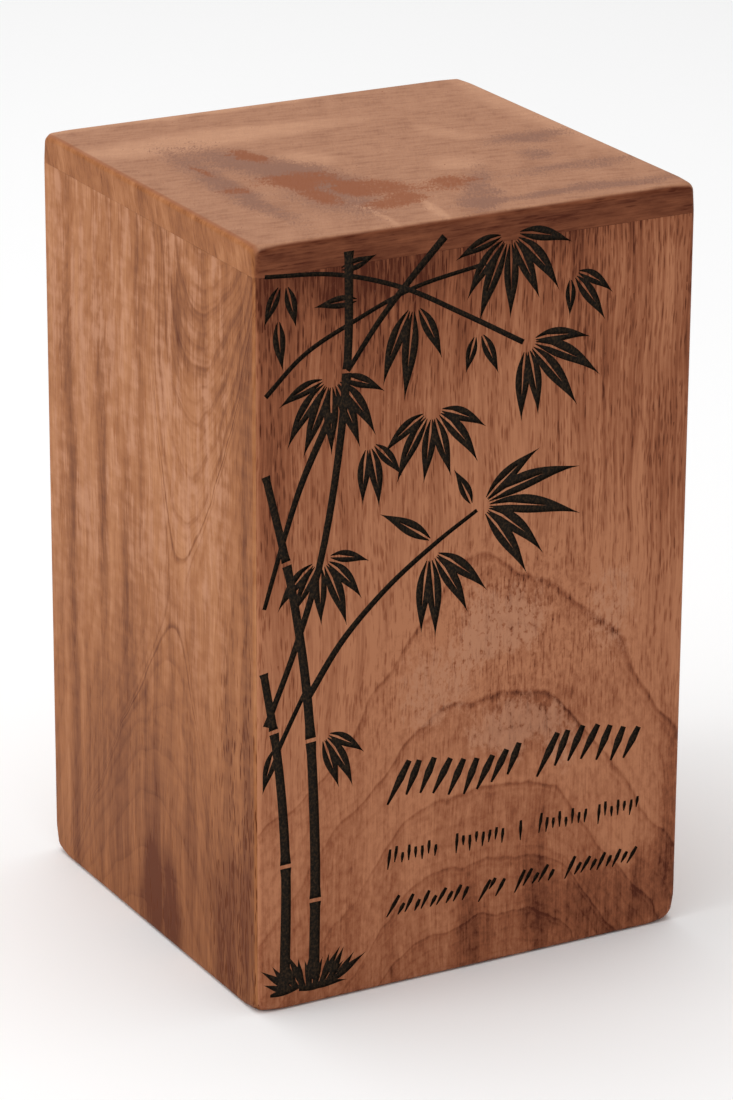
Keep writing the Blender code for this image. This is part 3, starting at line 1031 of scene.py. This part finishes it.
def side_figure(tree, across, depth, lengthwise):
    bent = across + wandering(tree, across, depth, lengthwise, 26, 70, 8.0)
    raised = lengthwise + wandering(tree, across, depth, lengthwise, 24, 40, 16.0)
    low_right = across.smooth_step(104.0, 128.0) * lengthwise.smooth_step(60.0, 150.0, 1.0, 0.0)
    fibre, streaks, pores = grained(
        tree, bent, depth, lengthwise,
        streak_width=7.0, streak_length=110.0, pore_share=low_right * 0.5 + 0.2,
    )
    cloud_across = across + wandering(tree, across, depth, lengthwise, 8, 30, 7.0)
    cloud_up = lengthwise + wandering(tree, across + 40, depth, lengthwise, 7, 30, 26.0)
    saddle, steepness = saddle_field(bent, raised)
    away = saddle.maths("ABSOLUTE").maths("MAXIMUM", 0.01)
    crowding = steepness / away.maths("POWER", 0.6) * 0.6
    ring = away.maths("POWER", 0.4) * saddle.maths("SIGN") * 1.5 - 0.1
    line, shade = placed(
        tree, GROWTH_RINGS, ring=ring, line_width=(crowding * 2.2).maths("MINIMUM", 0.6)
    )
    echo, _ = placed(tree, GROWTH_RINGS, ring=ring * 4 + 0.5, line_width=0.4)
    looped = saddle.smooth_step(-1.0, 1.0, 0.3, 1.0) * lengthwise.smooth_step(90.0, 130.0, 0.6, 1.0)
    inner = lengthwise.smooth_step(100.0, 140.0, 0.2, 0.4)
    first = away.smooth_step(0.1, 0.4) * away.smooth_step(0.6, 2.5, 1.0, inner)
    tone = (fibre - 0.5) * 0.5 + (streaks - 0.5) * 1.1 + 0.56
    tone = tone - pores * (low_right * 0.34 + 0.1) - line * looped * first * 0.4
    tone = tone - echo * looped * lengthwise.smooth_step(100.0, 140.0, 0.03, 0.09) - shade * 0.06
    ripples = noise(tree, across / 8, depth / 8, lengthwise / 4.5)
    tone = tone + (ripples - 0.5) * lengthwise.smooth_step(20.0, 90.0, 0.1, 0.5)
    # lighter along the near corner: painted highlight
    tone = tone + across.smooth_step(139.8, 141.4, 0.0, NEAR_CORNER_HIGHLIGHT)
    tone = tone + patches(tree, cloud_across, cloud_up, SIDE_PATCHES)
    columns = noise(tree, bent / 5, depth / 5, lengthwise / 34, detail=4.0, roughness=0.6)
    pale = (columns + (ripples - 0.5) * 0.4 + (fibre - 0.5) * 0.3).smooth_step(0.44, 0.66)
    pale = pale * lengthwise.smooth_step(60.0, 150.0) * across.smooth_step(118.0, 132.0, 0.5, 0.0)
    pale = pale * tone.smooth_step(0.3, 0.6)
    return tone, pores, ((pale, PALE_SAPWOOD),)


# %% [markdown]
# ## The lid's figure
#
# The lid comes from near a knot. Its ground is pale and even, with fine flecks along its width and
# grey-brown clouds towards the front left that have redder hearts. Tone alone can't turn brown to
# grey, so the clouds are stains laid over the palette. It shows no pores, so gloss and relief
# follow its fibre. Round the rim the saw met other wood, and the left edge looks like the wall under
# it. The front edge is a dark red-brown: partly its own grain, partly painted shade.

# %% Figure of the lid
GREY_CLOUDS = (
    (1.0, 22, 56, 5, 36, 0.0, 0.8),
    (1.0, 41, 76, 11, 27, -0.35, 0.8),
    (0.9, 47, 40, 13, 24, 0.1, 0.8),
    (0.8, 86, 22, 6, 24, 0.5, 0.8),
    (0.9, 130, 68, 14, 7, 0.3, 0.8),
    (0.8, 122, 50, 6, 6, 0.0, 0.8),
    (0.7, 126, 33, 24, 5, 0.0, 0.8),
    (0.9, 114, 10, 36, 4, 0.0, 0.8),
)
RED_HEARTS = (
    (1.0, 43, 88, 4, 8, -0.3, 0.7),
    (1.0, 45, 58, 13, 7, 0.0, 0.7),
    (1.0, 42, 42, 5, 14, 0.0, 0.7),
    (1.0, 53, 42, 4, 9, 0.0, 0.7),
    (1.0, 63, 38, 8, 12, -0.3, 0.7),
    (1.0, 58, 23, 10, 5, 0.0, 0.7),
    (1.0, 83, 34, 8, 7, 0.2, 0.7),
    (0.8, 23, 77, 2, 8, 0.0, 0.7),
    (0.8, 22, 55, 5, 4, 0.0, 0.7),
)
LID_LIGHTS = (
    (0.40, 38, 111, 50, 9, 0.0, 0.5),
    (0.40, 45, 141, 60, 4, 0.0, 0.5),
    (0.35, 147, 100, 7, 60, 0.0, 0.6),
    (0.30, 58, 77, 8, 8, 0.0, 0.5),
    (0.30, 95, 52, 8, 6, 0.0, 0.6),
    (0.25, 110, 84, 5, 9, -0.3, 0.6),
    (0.35, 48, 20, 1.6, 26, 0.05, 0.6),
    (0.35, 64, 10, 1.8, 12, 0.1, 0.6),
)
CLOUD_GREY = from_screen(134, 94, 76)
HEART_RED = from_screen(140, 80, 48)
FIBRE_SLANT, FLECK_TILT = 0.5, 0.12
print(len(GREY_CLOUDS), "grey clouds and", len(RED_HEARTS), "red hearts on the lid")


def lid_figure(tree, across, depth, lengthwise):
    cloud_across = across + wandering(tree, across, depth, lengthwise, 12, 16, 9.0)
    cloud_across = cloud_across + wandering(tree, across, depth, lengthwise + 90, 4, 5, 3.5)
    cloud_up = lengthwise + wandering(tree, across + 50, depth, lengthwise, 22, 14, 11.0)
    cloud_up = cloud_up + wandering(tree, across + 90, depth, lengthwise, 5, 4, 3.5)
    slanted = across - lengthwise * FIBRE_SLANT
    fibre, streaks, _ = grained(
        tree, slanted, depth, lengthwise,
        fibre_width=0.9, fibre_length=4.5, streak_width=7.0, streak_length=22.0,
    )
    specks = noise(tree, slanted / 0.8, depth, lengthwise / 1.6, roughness=0.7)
    tilted = lengthwise + across * FLECK_TILT
    flecks = noise(tree, across / 11, depth / 2, tilted / 2.4, detail=4.0, roughness=0.65)
    frayed = (fibre - 0.5) * 1.1 + (specks - 0.5) * 1.8 + (flecks - 0.5) * 1.6
    grey = patches(tree, cloud_across, cloud_up, GREY_CLOUDS) + frayed
    red = patches(tree, cloud_across, cloud_up, RED_HEARTS) + frayed
    lights = patches(tree, cloud_across, cloud_up, LID_LIGHTS)
    tone = (fibre - 0.5) * 0.35 + (streaks - 0.5) * 0.4 + (flecks - 0.5) * 0.9 + 0.5
    tone = tone + lights * grey.smooth_step(0.3, 0.7, 1.0, 0.2)

    rim_fibre, rim_streaks, rim_pores = grained(
        tree, lengthwise + depth * 0.3, across, depth,
        streak_width=7.0, streak_length=14.0, pore_share=0.4,
    )
    left_tone = (rim_streaks - 0.5) * 1.3 + (rim_fibre - 0.5) * 0.5 - rim_pores * 0.15 + 0.5
    rim_fibre, rim_streaks, rim_pores = grained(
        tree, depth, lengthwise, across, streak_width=6.0, streak_length=22.0, pore_share=0.5
    )
    # the front edge's tone, set low: its own darker grain, darkened further with painted shade
    front_edge_grain_and_shade = (rim_streaks - 0.5) * 0.9 + (rim_fibre - 0.5) * 0.5 - rim_pores * 0.1 + 0.2
    stains_and_shade = (
        (grey.smooth_step(0.15, 1.0) * 0.9, CLOUD_GREY),
        (red.smooth_step(0.3, 0.95) * 0.9, HEART_RED),
        (across.smooth_step(1.2, 2.2, 0.6, 0.0), HEART_RED),
        (across.smooth_step(0.3, 1.2, 1.0, 0.0), coloured(tree, left_tone, "side")),
        (lengthwise.smooth_step(0.3, 1.3, 1.0, 0.0), coloured(tree, front_edge_grain_and_shade, "front")),
    )
    return tone, fibre.smooth_step(0.4, 0.7, 0.0, 0.4), stains_and_shade


# %% [markdown]
# ## The hidden boards
#
# The right and back walls, the base and the inside come from plainer stock: straight grain, with
# pores and a few soft streaks, in the same palette.

# %% Figure of the plain boards
def plain_figure(tree, across, depth, lengthwise):
    bent = across + wandering(tree, across, depth, lengthwise, 35, 110, 12.0)
    fibre, streaks, pores = grained(tree, bent, depth, lengthwise, pore_share=0.5)
    ring = bent / 9 + wandering(tree, across, depth, lengthwise, 40, 150, 3.0)
    line, shade = placed(tree, GROWTH_RINGS, ring=ring, line_width=0.2)
    tone = (fibre - 0.5) * 0.6 + (streaks - 0.5) * 1.0 + 0.56
    return tone - pores * 0.2 - line * 0.08 - shade * 0.08, pores, ()


# %% [markdown]
# ## Charred wood
#
# The laser leaves the cuts almost black and quite dull, with a little brown where the char is thin.

# %% Materials on their boards
CHAR_BLACK, CHAR_BROWN = from_screen(25, 20, 15), from_screen(60, 45, 31)


def charred(material):
    material.use_nodes = True
    tree = material.node_tree
    shader = tree.nodes["Principled BSDF"]
    across, depth, lengthwise = board_coordinates(tree, "front")
    patchy = noise(tree, across / 0.7, depth / 0.7, lengthwise / 0.9)
    colour = blended(tree, patchy.smooth_step(0.4, 0.7), CHAR_BLACK, CHAR_BROWN)
    feed(tree, colour, shader.inputs["Base Color"])
    feed(tree, patchy.smooth_step(0.3, 0.7, 0.75, 0.85), shader.inputs["Roughness"])
    shader.inputs["Specular IOR Level"].default_value = 0.12
    return material


charred(char_slot)
front_wood = wood("front_wood", "front", "front", front_figure)
left_wood = wood("left_wood", "left", "side", side_figure)
right_wood = wood("right_wood", "right", "side", plain_figure)
back_wood = wood("back_wood", "back", "side", plain_figure)
base_wood = wood("base_wood", "top", "side", plain_figure)
lid_wood = wood("lid_wood", "top", "top", lid_figure)

front_wall.data.materials[0] = front_wood
lid_board.data.materials[0] = lid_wood
for board, material in ((right_wall, right_wood), (back_wall, back_wood), (left_wall, left_wood)):
    board.data.materials.clear()
    board.data.materials.append(material)
bpy.data.materials.remove(wood_slot)
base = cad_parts["base_board"]
base.data.materials.clear()
base.data.materials.append(base_wood)
print("materials:", [material.name for material in bpy.data.materials])

# %% [markdown]
# ## Tie the pieces to the frame
#
# Each finished board rides on the box's one body, and the solid that it stands for is hidden.

# %% Ride and replace
for piece, node, slot in (
    (front_wall, "front_board", "case_wood"),
    (right_wall, "right_board", "case_wood"),
    (back_wall, "back_board", "case_wood"),
    (left_wall, "left_board", "case_wood"),
    (lid_board, "lid", "lid_wood"),
):
    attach(piece, "root")
    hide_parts(node)
    print(piece.name, "stands for", node)

# %% [markdown]
# ## Floor and light
#
# The photograph is a product shot: a white sweep, a large soft light above, a second one to the
# left, and little from the front. The floor is a plain near-white plane. The world gives the rest
# of the room, as an even pale light.

# %% Floor, lights and world
FLOOR_REACH = 4.0
PAPER_WHITE = (0.95, 0.95, 0.95, 1)
floor_maker = bmesh.new()
bmesh.ops.create_grid(floor_maker, x_segments=1, y_segments=1, size=FLOOR_REACH)
floor = new_object("studio_floor", floor_maker)
floor.location.z = cad_low.z
paper = bpy.data.materials.new("white_paper")
paper.use_nodes = True
paper_shader = paper.node_tree.nodes["Principled BSDF"]
paper_shader.inputs["Base Color"].default_value = PAPER_WHITE
paper_shader.inputs["Roughness"].default_value = 0.9
floor.data.materials.append(paper)


def soft_light(name, place, aim, size, watts):
    data = bpy.data.lights.new(name, "AREA")
    data.shape = "RECTANGLE"
    data.size, data.size_y = size
    data.energy = watts
    light = bpy.data.objects.new(name, data)
    light.location = place
    light.rotation_euler = (Vector(aim) - Vector(place)).to_track_quat("-Z", "Y").to_euler()
    bpy.context.scene.collection.objects.link(light)


CASE_MIDDLE = (0, 0, CASE_HEIGHT / 2)
soft_light("light_above", (-0.3, 0.3, 3.0), CASE_MIDDLE, (3.0, 3.0), 62)
soft_light("light_left", (-1.5, 0.1, 0.8), CASE_MIDDLE, (1.0, 1.2), 7)

world = bpy.data.worlds.new("studio_room")
world.use_nodes = True
world.node_tree.nodes["Background"].inputs["Color"].default_value = (1, 1, 1, 1)
world.node_tree.nodes["Background"].inputs["Strength"].default_value = 0.5
bpy.context.scene.world = world
bpy.context.scene.view_settings.view_transform = "Standard"
print("lights:", [light.name for light in bpy.data.lights])
